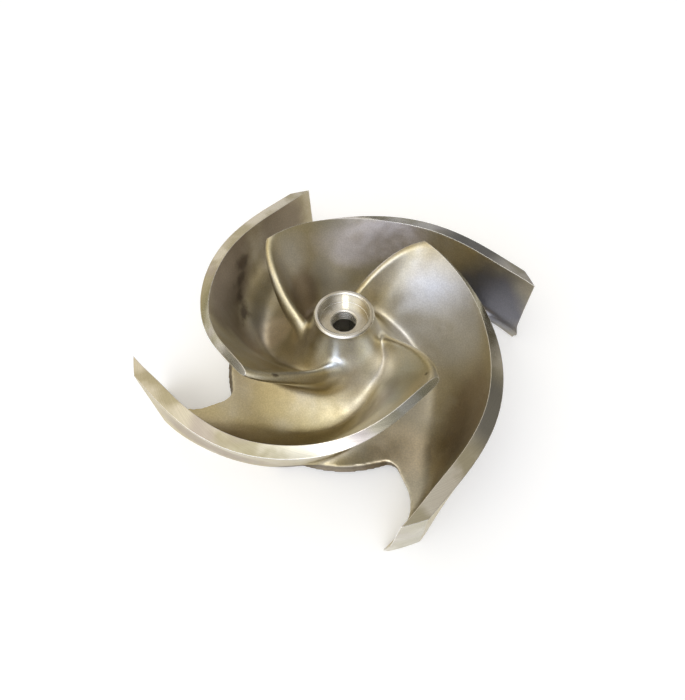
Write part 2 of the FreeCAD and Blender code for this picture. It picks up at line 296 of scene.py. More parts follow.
def add_vane(number, grid):
    """One vane, turned to its place, with a flat face closing each end."""
    turn = 2 * math.pi * number / VANES
    c, s = math.cos(turn), math.sin(turn)
    points = grid.reshape(-1, 3) @ np.array([[c, s, 0], [-s, c, 0], [0, 0, 1]])
    rows, columns = grid.shape[:2]
    faces = grid_faces(rows, columns, wrap_columns=True).tolist()
    faces += [list(range(columns)), list(range((rows - 1) * columns, rows * columns))]
    return new_piece(f"vane_{number + 1}", points, faces)


vane_points = vane_grid()
vanes = [add_vane(number, vane_points) for number in range(VANES)]
print("vane grid", vane_points.shape, "vanes", len(vanes))

# %% [markdown]
# The hub is a profile turned about the shaft axis: a drafted flank that runs through a wide fillet into
# the floor. The web is a flat plate whose outline is a disc with four notches, one between each pair of
# vane tips. Its corners are curves that touch both sides, as a pattern maker rounds them.

# %% Hub and web
TURN_STEPS = 256
FILLET_STEPS = 24
NOTCH_STEPS = 40
# the hub's underside stands this far inside the web, so that the two overlap
HUB_SINK = 1.0


def turned(name, profile, closed=False):
    """Profile of radii and heights carried round the shaft axis. Its ends lie on the axis or are joined."""
    turn = np.linspace(0, 2 * math.pi, TURN_STEPS, endpoint=False)[:, None]
    radius, height = np.asarray(profile, float).T
    points = np.stack([
        radius * np.cos(turn), radius * np.sin(turn), height + 0 * turn,
    ], axis=-1)
    faces = grid_faces(TURN_STEPS, len(radius), wrap_rows=True, wrap_columns=closed).tolist()
    return new_piece(name, points.reshape(-1, 3), faces)


def fillet_arc(corner, first, second, radius):
    """Arc that touches both sides of a corner, which run from it along the two directions.

    Its centre lies on the line half way between them, at the radius over the sine of half their angle,
    and its points go round from one side to the other by sines of the shares of the swept angle.
    """
    corner, first, second = (np.asarray(v, float) for v in (corner, first, second))
    first, second = first / np.linalg.norm(first), second / np.linalg.norm(second)
    half = math.acos(np.clip(first @ second, -1, 1)) / 2
    middle = (first + second) / np.linalg.norm(first + second)
    centre = corner + middle * radius / math.sin(half)
    start = corner + first * radius / math.tan(half) - centre
    end = corner + second * radius / math.tan(half) - centre
    share = np.linspace(0, 1, FILLET_STEPS)[:, None]
    sweep = math.pi - 2 * half
    return centre + (np.sin((1 - share) * sweep) * start + np.sin(share * sweep) * end) / math.sin(sweep)


def hub_profile():
    """Radii and heights from the axis on top, down the flank and its fillet, under the floor, to the axis."""
    foot = HUB_RIM + (HUB_HEIGHT - WEB_TOP) * math.tan(HUB_DRAFT)
    flank = (HUB_RIM - foot, HUB_HEIGHT - WEB_TOP)
    sweep = fillet_arc((foot, WEB_TOP), flank, (1, 0), HUB_FILLET)
    top = [(0, HUB_HEIGHT + STOCK), (HUB_RIM, HUB_HEIGHT + STOCK), (HUB_RIM, HUB_HEIGHT)]
    under = [(foot + HUB_FILLET, WEB_UNDERSIDE + HUB_SINK), (BACK_BOSS, WEB_UNDERSIDE + HUB_SINK),
             (BACK_BOSS, -STOCK), (0, -STOCK)]
    return np.concatenate([top, sweep, under])


def web_outline():
    """Outline of the web over one vane's pitch.

    It is the notch's arc, its rounded corner and side, the sweep into the ledge along the vane's foot,
    and a hidden return inside the vane.
    """
    side = RAY[NOTCH_ROW]
    pitch = 2 * math.pi / VANES
    outside = np.nonzero(FOOT > WEB_RADIUS)[0]
    end_ray = np.interp(-WEB_RADIUS, -FOOT, RAY)
    ledge = wall_side(np.full(len(RAY), WEB_TOP), -1) - LEDGE
    radial = np.array([math.cos(side), math.sin(side)])
    across = np.array([math.sin(side), -math.cos(side)])
    notch = np.linspace(end_ray - pitch, side - NOTCH_CORNER / WEB_RADIUS, NOTCH_STEPS)
    arc = WEB_RADIUS * np.stack([np.cos(notch), np.sin(notch)], axis=1)
    corner = fillet_arc(radial * WEB_RADIUS, across, radial, NOTCH_CORNER)
    feet = np.arange(NOTCH_ROW + 1)[::-1]
    ledge_points = ledge[feet, None] * np.stack([np.cos(RAY[feet]), np.sin(RAY[feet])], axis=1)
    sweep = fillet_arc(ledge_points[0], -radial, ledge_points[1] - ledge_points[0], NOTCH_SWEEP)
    back = FOOT[outside, None] * np.stack([np.cos(RAY[outside]), np.sin(RAY[outside])], axis=1)
    return np.concatenate([arc, corner, sweep, ledge_points[1:], back])


def add_web():
    """The outline repeated for each vane, lifted from the underside to the top of the web."""
    part = web_outline()
    turn = 2 * math.pi * np.arange(VANES) / VANES
    c, s = np.cos(turn), np.sin(turn)
    spin = np.stack([np.stack([c, s], axis=1), np.stack([-s, c], axis=1)], axis=1)
    outline = np.einsum("px,kxy->kpy", part, spin).reshape(-1, 2)
    count = len(outline)
    levels = np.repeat([WEB_UNDERSIDE, WEB_TOP], count)[:, None]
    points = np.hstack([np.tile(outline, (2, 1)), levels])
    faces = grid_faces(2, count, wrap_columns=True).tolist()
    faces += [list(range(count)), list(range(count, 2 * count))]
    return new_piece("web", points, faces)


hub = turned("hub", hub_profile())
web = add_web()
print("hub points", len(hub.data.vertices), "web points", len(web.data.vertices))

# %% [markdown]
# A casting has no seams. The six overlapping shapes are joined and wrapped in one skin of small even
# quads by a voxel remesh. Then the points are moved in rounds towards the mean of their neighbours,
# mostly where the skin is hollow, so inside corners fill into fillets and the thin noses keep their size.
# More rounds follow in a band round the hub, where the vanes run out softly into its flank.

# %% One skin round the rough casting
# edge of the skin's quads, and the share of its faces that is kept once it is smooth
SKIN_STEP, KEPT_SHARE = 1.15, 0.33
# rounds over the whole skin: in every direction, and then mostly outwards in the hollows
EVEN_ROUNDS = 4
FILL_ROUNDS = 60
# rounds of both kinds in the band round the hub, then the band's middle, width and outer end as radii
HUB_ROUNDS, HUB_EVEN_ROUNDS = 90, 22
HUB_BAND, HUB_BAND_WIDTH, HUB_REACH = 38.0, 15.0, 76.0
# part of the pull that a round takes, part of it kept along the skin, and outward pull that is ignored
ROUND_SHARE, SLIDE_SHARE, PULL_IGNORED = 0.5, 0.3, 0.004


def skin_of(pieces):
    """Joined mesh of the pieces after a voxel remesh, as point and quad arrays in millimetres."""
    with bpy.context.temp_override(active_object=pieces[0], selected_editable_objects=pieces):
        bpy.ops.object.join()
    rough = pieces[0]
    wrap = rough.modifiers.new("skin", "REMESH")
    wrap.mode = "VOXEL"
    wrap.voxel_size = SKIN_STEP * MM
    shown = rough.evaluated_get(bpy.context.evaluated_depsgraph_get())
    mesh = bpy.data.meshes.new_from_object(shown)
    points = np.zeros(len(mesh.vertices) * 3)
    mesh.vertices.foreach_get("co", points)
    corners = np.zeros(len(mesh.loops), int)
    mesh.loops.foreach_get("vertex_index", corners)
    bpy.data.objects.remove(rough)
    return points.reshape(-1, 3) / MM, corners.reshape(-1, 4)


def gather(values, places, count):
    """Sum of the value rows that go to each place."""
    return np.stack([np.bincount(places, values[:, k], count) for k in range(3)], axis=1)


def relax(points, quads, rounds, hollow_only, share=1.0):
    """Points moved in rounds by their pull, ROUND_SHARE of it each time, and of that the share given.

    A point's pull is the mean of its neighbours less the point. With hollow_only, its outward part counts
    above PULL_IGNORED, an inward part not at all, and the part along the skin by SLIDE_SHARE.
    """
    ends = np.concatenate([quads, np.roll(quads, 1, axis=1)]).ravel()
    others = np.concatenate([np.roll(quads, 1, axis=1), quads]).ravel()
    number = np.bincount(ends, minlength=len(points))[:, None]
    for _ in range(rounds):
        pull = gather(points[others], ends, len(points)) / number - points
        if hollow_only:
            a, b, c, d = (points[quads[:, k]] for k in range(4))
            face = np.cross(c - a, d - b)
            normal = gather(np.repeat(face, 4, axis=0), quads.ravel(), len(points))
            normal /= np.linalg.norm(normal, axis=1)[:, None]
            outward = np.einsum("px,px->p", pull, normal)[:, None]
            slide = pull - outward * normal
            pull = slide * SLIDE_SHARE + normal * np.maximum(outward - PULL_IGNORED, 0)
        points = points + pull * ROUND_SHARE * share
    return points


def applied(piece):
    """Mesh of the piece with its modifiers in it, put in place of its own mesh."""
    shown = piece.evaluated_get(bpy.context.evaluated_depsgraph_get())
    mesh = bpy.data.meshes.new_from_object(shown)
    piece.modifiers.clear()
    piece.data = mesh
    return mesh


points, quads = skin_of(vanes + [hub, web])
points = relax(points, quads, EVEN_ROUNDS, hollow_only=False)
points = relax(points, quads, FILL_ROUNDS, hollow_only=True)
reach = np.hypot(points[:, 0], points[:, 1])
used, local = np.unique(quads[(reach[quads] < HUB_REACH).all(axis=1)], return_inverse=True)
band = np.exp(-((reach[used] - HUB_BAND) / HUB_BAND_WIDTH) ** 2)[:, None]
near_quads = local.reshape(-1, 4)
points[used] = relax(points[used], near_quads, HUB_ROUNDS, hollow_only=True, share=band)
points[used] = relax(points[used], near_quads, HUB_EVEN_ROUNDS, hollow_only=False, share=band)
casting = new_piece("impeller_casting", points, quads.tolist())
thinner = casting.modifiers.new("thinner", "DECIMATE")
thinner.ratio = KEPT_SHARE
applied(casting)
print("skin", len(points), "points", len(quads), "quads, thinned to", len(casting.data.polygons), "faces")

# %% [markdown]
# The cutters are the spaces that the lathe clears: in front of the vanes, outside the rim, behind the
# back face, and in the bores. Each carries its own material, and the boolean hands that material to the
# face it leaves, so the bright faces need no painting and their edges stay crisp.

# %% Materials by name
cast_steel = bpy.data.materials.new("blasted_casting")
turned_steel = bpy.data.materials.new("turned_face")
bored_steel = bpy.data.materials.new("bored_face")
print("materials", [m.name for m in (cast_steel, turned_steel, bored_steel)])

# %% Cutters
# how far every cutter reaches past the casting
CLEAR = 30.0
CHAMFER = 1.0
CUP_RADIUS, CUP_DEPTH = 20.0, 10.5
SCREW_RADIUS, SCREW_LAND = 10.0, 10.5
CUP_FLOOR = HUB_HEIGHT - CUP_DEPTH
LAND_FLOOR = CUP_FLOOR - SCREW_LAND
SHAFT_RADIUS = 19.0
KEY_WIDTH, KEY_DEPTH = 10.0, 3.3
FRONT_STEPS = 60
FRONT_RUN_ON = 20.0


def front_profile():
    """Closed section of the space in front of the vanes: the turned line, run on inwards, then up and out."""
    along = np.linspace(0, 1, len(FRONT_RADII))
    line = spline(along, np.stack([FRONT_RADII, FRONT_HEIGHTS], axis=1), np.linspace(0, 1, FRONT_STEPS))
    inward = line[-1] + (line[-1] - line[-2]) / np.linalg.norm(line[-1] - line[-2]) * FRONT_RUN_ON
    top = inward[1] + CLEAR
    return np.concatenate([line, [inward, (inward[0], top), (OUTER_RADIUS + CLEAR, top),
                                  (OUTER_RADIUS + CLEAR, FRONT_HEIGHTS[0])]])


def bore_profile():
    """Section of the cup, the screw hole and the shaft bore, with the small chamfers of their mouths."""
    return [
        (0, -CHAMFER), (SHAFT_RADIUS + 2 * CHAMFER, -CHAMFER), (SHAFT_RADIUS, CHAMFER),
        (SHAFT_RADIUS, LAND_FLOOR), (SCREW_RADIUS, LAND_FLOOR), (SCREW_RADIUS, CUP_FLOOR - CHAMFER),
        (SCREW_RADIUS + CHAMFER, CUP_FLOOR), (CUP_RADIUS, CUP_FLOOR),
        (CUP_RADIUS, HUB_HEIGHT - CHAMFER), (CUP_RADIUS + CHAMFER, HUB_HEIGHT),
        (HUB_RIM - CHAMFER, HUB_HEIGHT), (HUB_RIM + CHAMFER, HUB_HEIGHT - 2 * CHAMFER),
        (HUB_RIM + CHAMFER, HUB_HEIGHT + CLEAR), (0, HUB_HEIGHT + CLEAR),
    ]


def slab(name, low, high):
    """Closed box between two corners."""
    x, y, z = (np.array([low[k], high[k]], float) for k in range(3))
    points = np.stack(np.meshgrid(x, y, z, indexing="ij"), axis=-1).reshape(-1, 3)
    faces = [[0, 1, 3, 2], [4, 6, 7, 5], [0, 4, 5, 1], [2, 3, 7, 6], [0, 2, 6, 4], [1, 5, 7, 3]]
    return new_piece(name, points, faces)


def cut(piece, cutter, material):
    """Take the cutter's space out of the piece and give the faces it leaves the cutter's material."""
    cutter.data.materials.append(material)
    step = piece.modifiers.new("cut", "BOOLEAN")
    step.operation = "DIFFERENCE"
    step.solver = "MANIFOLD"
    step.material_mode = "TRANSFER"
    step.object = cutter
    mesh = applied(piece)
    bpy.data.objects.remove(cutter)
    print("cut by", material.name, "leaves", len(mesh.polygons), "faces")


casting.data.materials.append(cast_steel)
far = OUTER_RADIUS + CLEAR
high = HUB_HEIGHT + CLEAR
rim_ring = [(OUTER_RADIUS, -CLEAR), (OUTER_RADIUS, high), (far, high), (far, -CLEAR)]
back_disc = [(0, 0), (far, 0), (far, -CLEAR), (0, -CLEAR)]
cut(casting, turned("front_cutter", front_profile(), closed=True), turned_steel)
cut(casting, turned("rim_cutter", rim_ring, closed=True), turned_steel)
cut(casting, turned("back_cutter", back_disc), turned_steel)
cut(casting, turned("bore_cutter", bore_profile()), bored_steel)
cut(casting, slab("key_cutter", (-KEY_WIDTH / 2, 0, -CLEAR),
                  (KEY_WIDTH / 2, SHAFT_RADIUS + KEY_DEPTH, LAND_FLOOR)), bored_steel)

# %% [markdown]
# The skin of a casting is smooth to the eye, and only the machined edges are sharp. So all faces are
# shaded as one smooth surface, and an edge whose two faces differ by more than the limit stays crisp.
# Then the piece takes the place of the plain CAD casting.

# %% Smooth skin, crisp edges
EDGE_ANGLE = math.radians(32)
casting.data.polygons.foreach_set("use_smooth", np.ones(len(casting.data.polygons), bool))
casting.data.set_sharp_from_angle(angle=EDGE_ANGLE)
casting.data.update()
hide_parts("impeller")
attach(casting, "root")
print("materials", [m.name for m in casting.data.materials], "triangles",
      sum(len(p.vertices) - 2 for p in casting.data.polygons))

# %% [markdown]
# Hollows are darkened, partly as dirt that blasting can't reach and partly as painted shade. So each
# point of the skin gets a number for how hollow it is there: the mean of its neighbours lies above it in a
# hollow and below it on a nose. The number is smoothed over the skin, because the finishes need broad soft
# changes from it.

# %% How hollow the skin is
HOLLOW_ROUNDS = 14
HOLLOW_RADIUS = 16.0
HOLLOW_LIMIT = 1.5


def hollow_values(mesh):
    """How hollow the skin is at each point.

    It is twice the rise of the neighbours above the point over the sum of their squared distances, which
    is one over the radius of the hollow, times HOLLOW_RADIUS and held within HOLLOW_LIMIT. Rounds of means
    with the neighbours then smooth it.
    """
    count = len(mesh.vertices)
    place, normal = np.zeros(count * 3), np.zeros(count * 3)
    mesh.vertices.foreach_get("co", place)
    mesh.vertices.foreach_get("normal", normal)
    place, normal = place.reshape(-1, 3) / MM, normal.reshape(-1, 3)
    ends = np.zeros(len(mesh.edges) * 2, int)
    mesh.edges.foreach_get("vertices", ends)
    ends = ends.reshape(-1, 2)
    here, there = np.r_[ends[:, 0], ends[:, 1]], np.r_[ends[:, 1], ends[:, 0]]
    number = np.maximum(np.bincount(here, minlength=count), 1)
    step = place[there] - place[here]
    rise = np.bincount(here, np.einsum("px,px->p", step, normal[here]), count)
    spread = np.bincount(here, np.einsum("px,px->p", step, step), count)
    bend = 2 * rise / np.maximum(spread, 1e-6)
    bend = np.clip(bend * HOLLOW_RADIUS, -HOLLOW_LIMIT, HOLLOW_LIMIT)
    for _ in range(HOLLOW_ROUNDS):
        bend = (bend + np.bincount(here, bend[there], count) / number) / 2
    return bend


hollow = hollow_values(casting.data)
casting.data.attributes.new("hollow", "FLOAT", "POINT").data.foreach_set("value", hollow.astype(np.float32))
print("hollow from", round(float(hollow.min()), 2), "to", round(float(hollow.max()), 2))

# %% [markdown]
# Steel is mostly what it reflects, so a finish is made of three things: how its colour drifts, how rough
# it is from place to place, and the small bumps that break up the reflection. All of it is noise on the
# object's own coordinates, in metres. A few short helpers keep the node trees readable.

# %% Node helpers
BEVEL_SAMPLES = 6
# cosines between an edge's rounded normal and the face's own where the bright edge, partly wear and partly
# painted highlight, starts and is full
EDGE_GLINT_FROM, EDGE_GLINT_TO = 0.995, 0.9


def node(tree, kind, inputs=None, **settings):
    """New shader node. Each input is a number, a colour or another node's output."""
    made = tree.nodes.new("ShaderNode" + kind)
    for name, value in settings.items():
        setattr(made, name, value)
    for key, value in (inputs or {}).items():
        if isinstance(value, bpy.types.NodeSocket):
            tree.links.new(value, made.inputs[key])
        else:
            made.inputs[key].default_value = value
    return made


def noise(tree, where, scale, detail):
    """Noise in space, about one patch for each 1 / scale metres, with this many finer layers in it."""
    return node(tree, "TexNoise", {"Vector": where, "Scale": scale, "Detail": detail}).outputs["Fac"]


def span(tree, value, low, high, start=0.0, end=1.0):
    """The value brought from low..high to start..end with soft ends."""
    inputs = {"Value": value, "From Min": low, "From Max": high, "To Min": start, "To Max": end}
    return node(tree, "MapRange", inputs, interpolation_type="SMOOTHSTEP").outputs["Result"]


def maths(tree, operation, first, second=0.0):
    """Result of one operation on two numbers or node outputs."""
    return node(tree, "Math", {0: first, 1: second}, operation=operation).outputs[0]


def blend(tree, share, first, second):
    """Colour between two, by a share from 0 to 1."""
    made = node(tree, "Mix", data_type="RGBA")
    for key, value in (("Factor_Float", share), ("A_Color", first), ("B_Color", second)):
        socket = next(s for s in made.inputs if s.identifier == key)
        if isinstance(value, bpy.types.NodeSocket):
            tree.links.new(value, socket)
        else:
            socket.default_value = value if key == "Factor_Float" else (*value, 1)
    return next(s for s in made.outputs if s.identifier == "Result_Color")


def bump(tree, height, distance, below=None):
    """Normal bent by a height from 0 to 1 that stands for this distance in millimetres."""
    inputs = {"Height": height, "Distance": distance * MM, "Strength": 1.0}
    if below is not None:
        inputs["Normal"] = below
    return node(tree, "Bump", inputs).outputs["Normal"]


def shader_of(material):
    """Node tree of a material, and the shader in it, which is set to metal."""
    material.use_nodes = True
    tree = material.node_tree
    shader = tree.nodes["Principled BSDF"]
    shader.inputs["Metallic"].default_value = 1.0
    return tree, shader


def wear_and_glint_share(tree, radius):
    """Share of the edges painted bright, partly as wear and partly as a painted highlight, and the normal
    that rounds them.

    The share grows from 0 to 1 as the cosine between the rounded normal and the face's own falls.
    """
    round_edge = node(tree, "Bevel", {"Radius": radius * MM}, samples=BEVEL_SAMPLES).outputs["Normal"]
    flat = node(tree, "NewGeometry").outputs["Normal"]
    match = node(tree, "VectorMath", {0: round_edge, 1: flat}, operation="DOT_PRODUCT").outputs["Value"]
    return span(tree, match, EDGE_GLINT_FROM, EDGE_GLINT_TO), round_edge


def ring_direction(tree, where):
    """Direction round the shaft axis at each point: the axis crossed with the place."""
    cross = node(tree, "VectorMath", {0: (0, 0, 1), 1: where}, operation="CROSS_PRODUCT").outputs[0]
    return node(tree, "VectorMath", {0: cross}, operation="NORMALIZE").outputs[0]


def from_axis(tree, where):
    """Distance from the shaft axis."""
    level = node(tree, "VectorMath", {0: where, 1: (1, 1, 0)}, operation="MULTIPLY").outputs[0]
    return node(tree, "VectorMath", {0: level}, operation="LENGTH").outputs["Value"]


# the bright edges are partly wear and partly painted highlight
print("wear starts where an edge turns by", round(math.degrees(math.acos(EDGE_GLINT_FROM)), 1), "degrees")

# %% [markdown]
# The blasted casting is a golden olive. Over it lie drifts of colour and patches of painted light and
# shade. A painted reflection of the window turns the wall that faces it silver, and the violet wall behind
# is lightened as painted light. Painted shade darkens the deep corners, the left wall and the feet of walls
# to brown, the olive front wall, and the outer end of one vane to slate, and painted light lightens two
# passage floors to cream. The hub's nose has been ground to a cool satin, and it is also lightened and
# cooled as a painted reflection of the window, while a painted highlight turns its skirt silver. A fine
# grain comes from the sand mould, and long dark stains hang on one wall where liquid has dried.

# %% Blasted casting
GOLD, SILVER, VIOLET = (0.54, 0.465, 0.285), (0.69, 0.68, 0.66), (0.93, 0.89, 0.91)
SATIN_AND_SHEEN, SLATE, BROWN = (0.91, 0.95, 1.0), (0.25, 0.25, 0.28), (0.27, 0.22, 0.16)
UMBER, OLIVE, CREAM = (0.35, 0.28, 0.2), (0.41, 0.375, 0.27), (0.95, 0.82, 0.61)
STAIN_AND_SHADE, WEB_EDGE_SHADE, RUBBED_AND_GLINT = (0.12, 0.09, 0.06), (0.2, 0.165, 0.115), (0.9, 0.88, 0.83)
# middle and half size of each drift or patch of painted light or shade in millimetres, its colour, and how
# much of it there is
TINTS_AND_PAINTED_LIGHT = {
    # painted reflection: the wall that faces the window is lightened to silver
    "window_wall": ((80, 14, 54), (42, 62, 46), SILVER, 1.0),
    # violet tint on the wall behind, lightened towards white as painted light
    "wall_behind": ((26, 100, 60), (62, 32, 28), VIOLET, 1.0),
    "left_of_behind": ((-44, 64, 76), (18, 22, 20), SILVER, 0.3),
    # painted shade: a corner, the left wall, its tip and its foot are darkened
    "corner_behind": ((-38, 48, 48), (20, 26, 22), UMBER, 0.9),
    "left_wall": ((-100, 56, 62), (32, 66, 34), BROWN, 1.0),
    "left_tip": ((-64, 130, 46), (40, 40, 44), BROWN, 0.9),
    "left_wall_foot": ((-88, 4, 34), (18, 34, 22), UMBER, 0.7),
    # painted light: the left passage floor is lightened to cream
    "left_floor": ((-62, 28, 16), (24, 22, 14), CREAM, 0.9),
    # olive front wall, darkened as painted shade, and painted shade darkening its foot
    "front_wall": ((30, -62, 56), (44, 28, 30), OLIVE, 1.0),
    "front_wall_foot": ((24, -68, 48), (34, 22, 20), BROWN, 0.7),
    # painted light: the right passage floor is lightened to cream
    "right_floor": ((45, -90, 10), (30, 30, 12), CREAM, 0.6),
    # painted shade darkens the low part of the window wall and the outer end of one vane; the front flank is
    # darkened too
    "low_window_wall": ((94, -78, 46), (30, 46, 42), UMBER, 0.8),
    "outer_end": ((144, 50, 30), (44, 50, 42), SLATE, 1.0),
    "front_flank": ((-112, -100, 28), (62, 40, 30), UMBER, 0.8),
    # painted highlight: the hub's skirt is lightened to silver, and its ground satin nose is lightened and
    # cooled as a painted reflection of the window
    "hub_skirt": ((6, -30, 46), (34, 24, 20), SILVER, 0.8),
    "hub_nose": ((2, -25, 62), (27, 18, 18), SATIN_AND_SHEEN, 1.0),
}
# middle of each stain in millimetres
STAINS = [(-94, 80, 52), (-93, 64, 45), (-92, 52, 38), (-90, 40, 30)]
STAIN_HALF = (9, 17, 8)
# middle and half size of two small patches of painted shade by the front edges, at the vanes' leading corners
MARKS = [((58.7, -62.9, 86), (3, 3, 4)), ((-50.9, -60.7, 84), (8, 2.5, 3))]
# painted brown shade covers the web's edge: below these heights, and inside these distances from the shaft
# axis
SHADE_TOP, SHADE_FULL = 11.4, 10.2
SHADE_RADIUS, SHADE_FULL_RADIUS = 118.0, 108.0
# heights between which the vanes' edges begin to be painted bright, partly as rubbed wear and partly as a
# painted highlight
GLINT_FROM, GLINT_FULL = 20.0, 40.0
# patches of noise per metre in the colour, the dirt and painted shade, the stains' borders, the specks and
# the roughness
DRIFT_PATCHES, DIRT_AND_SHADE_PATCHES, BORDER_PATCHES, SPECKS, DULL_PATCHES = 22.0, 60.0, 110.0, 900.0, 120.0
# waves of the mould and grains of its sand per metre, their depths, and the radius of an edge rounded and
# painted bright
WAVES, GRAINS = 130.0, 850.0
WAVE_DEPTH, GRAIN_DEPTH, GLINT_RADIUS = 0.1, 0.035, 0.6


def share_of(tree, where, middle, half, ragged, inner, outer):
    """1 inside a ball squeezed to the half sizes and 0 outside it, with its border moved by a noise."""
    away = node(tree, "VectorMath", {0: where, 1: tuple(v * MM for v in middle)}, operation="SUBTRACT")
    scaled = node(tree, "VectorMath", {0: away.outputs[0], 1: tuple(1 / (v * MM) for v in half)},
                  operation="MULTIPLY")
    length = node(tree, "VectorMath", {0: scaled.outputs[0]}, operation="LENGTH").outputs["Value"]
    return span(tree, maths(tree, "ADD", length, ragged), outer, inner)


def finish_casting(material):
    """Golden steel with drifts and painted light and shade, hollows darkened as dirt and painted shade,
    stains, and edges painted bright over it in turn, and a fine sand grain.
    """
    tree, shader = shader_of(material)
    where = node(tree, "TexCoord").outputs["Object"]
    patches = noise(tree, where, DRIFT_PATCHES, 3.0)
    colour = blend(tree, span(tree, patches, 0.35, 0.7, 0.0, 0.4), GOLD, SILVER)
    drift = maths(tree, "MULTIPLY", maths(tree, "SUBTRACT", patches, 0.5), 1.2)
    # tints and patches of painted light and painted shade, one after another
    for middle, half, tint, amount in TINTS_AND_PAINTED_LIGHT.values():
        share = share_of(tree, where, middle, half, drift, 0.5, 1.2)
        colour = blend(tree, maths(tree, "MULTIPLY", share, amount), colour, tint)
    height = node(tree, "SeparateXYZ", {0: where}).outputs["Z"]
    # painted shade darkens the web's edge, low down and near the shaft axis
    low = span(tree, height, SHADE_TOP * MM, SHADE_FULL * MM)
    near = span(tree, from_axis(tree, where), SHADE_RADIUS * MM, SHADE_FULL_RADIUS * MM)
    colour = blend(tree, maths(tree, "MULTIPLY", low, near), colour, WEB_EDGE_SHADE)
    # the hollows are darkened to umber, partly as dirt and partly as painted shade
    hollow_here = node(tree, "Attribute", attribute_name="hollow").outputs["Fac"]
    uneven = span(tree, noise(tree, where, DIRT_AND_SHADE_PATCHES, 3.0), 0.3, 0.8, -0.15, 0.25)
    dirt_and_shade = maths(tree, "ADD", hollow_here, uneven)
    colour = blend(tree, span(tree, dirt_and_shade, 0.3, 1.1, 0.0, 0.35), colour, UMBER)
    ragged = maths(tree, "SUBTRACT", noise(tree, where, BORDER_PATCHES, 3.0), 0.5)
    ragged = maths(tree, "MULTIPLY", ragged, 1.5)
    stained = 0.0
    for middle in STAINS:
        stain = share_of(tree, where, middle, STAIN_HALF, ragged, 0.2, 1.15)
        stained = maths(tree, "MAXIMUM", stained, stain)
    colour = blend(tree, maths(tree, "MULTIPLY", stained, 0.9), colour, STAIN_AND_SHADE)
    # painted shade at two leading corners, in the stains' dark colour
    for middle, half in MARKS:
        mark = share_of(tree, where, middle, half, ragged, 0.5, 0.9)
        colour = blend(tree, maths(tree, "MULTIPLY", mark, 0.85), colour, STAIN_AND_SHADE)
    speck = span(tree, noise(tree, where, SPECKS, 2.0), 0.35, 0.7, 0.9, 1.06)
    colour = node(tree, "VectorMath", {0: colour, 3: speck}, operation="SCALE").outputs[0]
    # edges painted bright, partly as rubbed wear and partly as a painted highlight
    edge, soft_edge = wear_and_glint_share(tree, GLINT_RADIUS)
    edge = maths(tree, "MULTIPLY", edge, span(tree, height, GLINT_FROM * MM, GLINT_FULL * MM))
    tree.links.new(blend(tree, edge, colour, RUBBED_AND_GLINT), shader.inputs["Base Color"])
    rough = span(tree, noise(tree, where, DULL_PATCHES, 3.0), 0.3, 0.7, 0.36, 0.44)
    rough = maths(tree, "SUBTRACT", rough, maths(tree, "MULTIPLY", edge, 0.15))
    tree.links.new(rough, shader.inputs["Roughness"])
    normal = bump(tree, noise(tree, where, WAVES, 3.0), WAVE_DEPTH, soft_edge)
    normal = bump(tree, noise(tree, where, GRAINS, 2.0), GRAIN_DEPTH, normal)
    tree.links.new(normal, shader.inputs["Normal"])


finish_casting(cast_steel)
print("casting nodes", len(cast_steel.node_tree.nodes))

# %% [markdown]
# The turned and bored faces. A lathe leaves fine rings about the axis, so their noise is read along one
# line only: the distance from the axis, and for the bores the height too. The rings also spread the
# highlight across themselves, which is what an anisotropic shader does along the ring's direction.

# %% Turned and bored faces
MAUVE, FACE_SHADE, POLISH_AND_GLINT = (0.5, 0.44, 0.43), (0.22, 0.215, 0.195), (0.95, 0.93, 0.88)
# painted shade: middle and half size in millimetres of two stretches of the front face that are darkened
SHADED_STRETCHES = [((116, 80, 72), (36, 34, 20)), ((104, -84, 70), (30, 40, 20))]
# how much of the height is added to the distance from the axis, for the line that the rings follow
HEIGHT_SHARE = 0.7
# the coarse grooves of the screw hole, which end between these distances from the shaft axis
GROOVE_PITCH, GROOVE_DEPTH = 2.2, 0.35
GROOVE_END, GROOVE_FULL = 10.8, 10.3
# how far the rings draw out a highlight, and the quarter turn that lays it across them
DRAWN_OUT, QUARTER_TURN = 0.75, 0.25
# patches of noise per metre in the dull and mauve tones and the roughness, and rings per metre
DULL_TONES, MAUVE_TONES, SHINE_PATCHES = 34.0, 21.0, 30.0
TONE_RINGS, CUT_RINGS = 1800.0, 2200.0
# radius in millimetres of an edge painted bright, partly as polish and partly as a painted highlight
POLISH_GLINT_RADIUS = 0.8


def rings(tree, line, scale):
    """Noise along one line only, about one ring for each 1 / scale metres."""
    inputs = {"W": line, "Scale": scale, "Detail": 2.0}
    return node(tree, "TexNoise", inputs, noise_dimensions="1D").outputs["Fac"]


